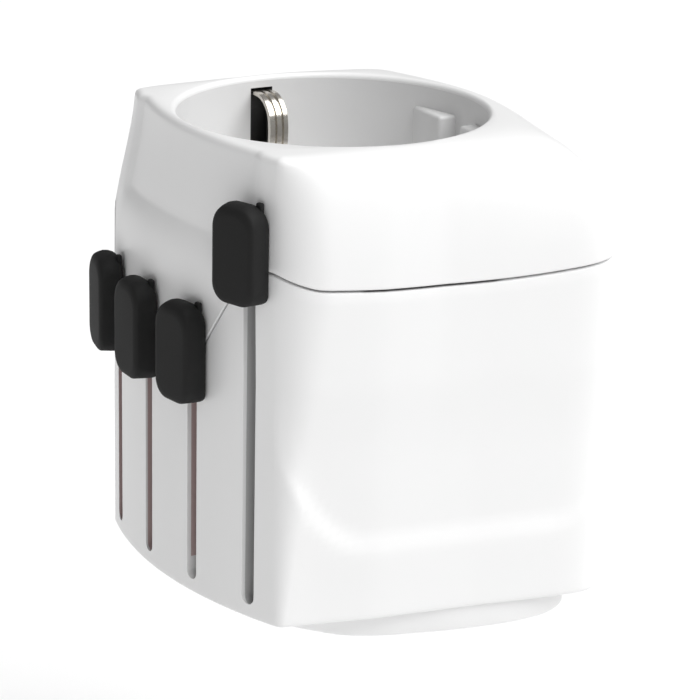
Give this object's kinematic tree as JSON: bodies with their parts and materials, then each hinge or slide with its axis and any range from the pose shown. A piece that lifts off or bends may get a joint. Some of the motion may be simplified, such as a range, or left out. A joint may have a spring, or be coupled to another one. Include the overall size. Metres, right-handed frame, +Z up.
{
  "type": "universal travel adapter",
  "caption": "Travel plug adapter: white rounded block with a deep round socket on top and black side sliders that push out plug pins.",
  "frame": {"origin": "middle of the foot's flat underside, on the axis of the round recess", "axes": "+Z up out of the recess, -Y the face with the sliders, +X to the right of that face"},
  "size_m": [0.0578, 0.0535, 0.064],
  "materials": {
    "white_plastic": "satin-gloss moulded white",
    "soft_touch_black": "soft-touch matte black",
    "black_plastic": "moulded pinkish grey",
    "grey_plastic": "moulded grey",
    "nickel": "nickel plated",
    "brass": "stamped strip",
    "steel": "zinc plated",
    "ceramic": "unglazed ceramic"
  },
  "bodies": {
    "housing": {"lower_shell": "white_plastic", "upper_shell": "white_plastic", "socket_insert": "white_plastic", "contact_block": "grey_plastic", "earth_clip_left": "nickel", "earth_clip_right": "nickel", "line_contact": "brass", "neutral_contact": "brass", "earth_contact": "brass", "fuse_tube": "ceramic", "fuse_cap_lower": "nickel", "fuse_cap_upper": "nickel", "fuse_clip_lower": "brass", "fuse_clip_upper": "brass", "screw_left": "steel", "screw_right": "steel", "shutter_spring": "steel"},
    "euro_slider": {"euro_carrier": "black_plastic", "euro_knob": "soft_touch_black", "euro_pin_1": "nickel", "euro_pin_2": "nickel"},
    "us_slider": {"us_carrier": "black_plastic", "us_knob": "soft_touch_black", "us_blade_1": "nickel", "us_blade_2": "nickel"},
    "uk_slider": {"uk_carrier": "black_plastic", "uk_knob": "soft_touch_black", "uk_pin_1": "nickel", "uk_pin_2": "nickel", "uk_earth_pin": "nickel"},
    "au_slider": {"au_carrier": "black_plastic", "au_knob": "soft_touch_black", "au_blade_1": "nickel", "au_blade_2": "nickel", "au_earth_blade": "nickel"},
    "shutter": {"shutter": "grey_plastic"}
  },
  "joints": [
    {"name": "euro_slide", "type": "slide", "parent": "housing", "child": "euro_slider", "axis": [0, 0, -1], "range_m": [0, 0.022]},
    {"name": "us_slide", "type": "slide", "parent": "housing", "child": "us_slider", "axis": [0, 0, -1], "range_m": [0, 0.022]},
    {"name": "uk_slide", "type": "slide", "parent": "housing", "child": "uk_slider", "axis": [0, 0, -1], "range_m": [0, 0.022]},
    {"name": "au_slide", "type": "slide", "parent": "housing", "child": "au_slider", "axis": [0, 0, -1], "range_m": [0, 0.035]},
    {"name": "shutter_slide", "type": "slide", "parent": "housing", "child": "shutter", "axis": [1, 0, 0], "range_m": [0, 0.006], "stiffness_N_per_m": 60, "springref_m": -0.001, "deforming": ["shutter_spring"]}
  ]
}
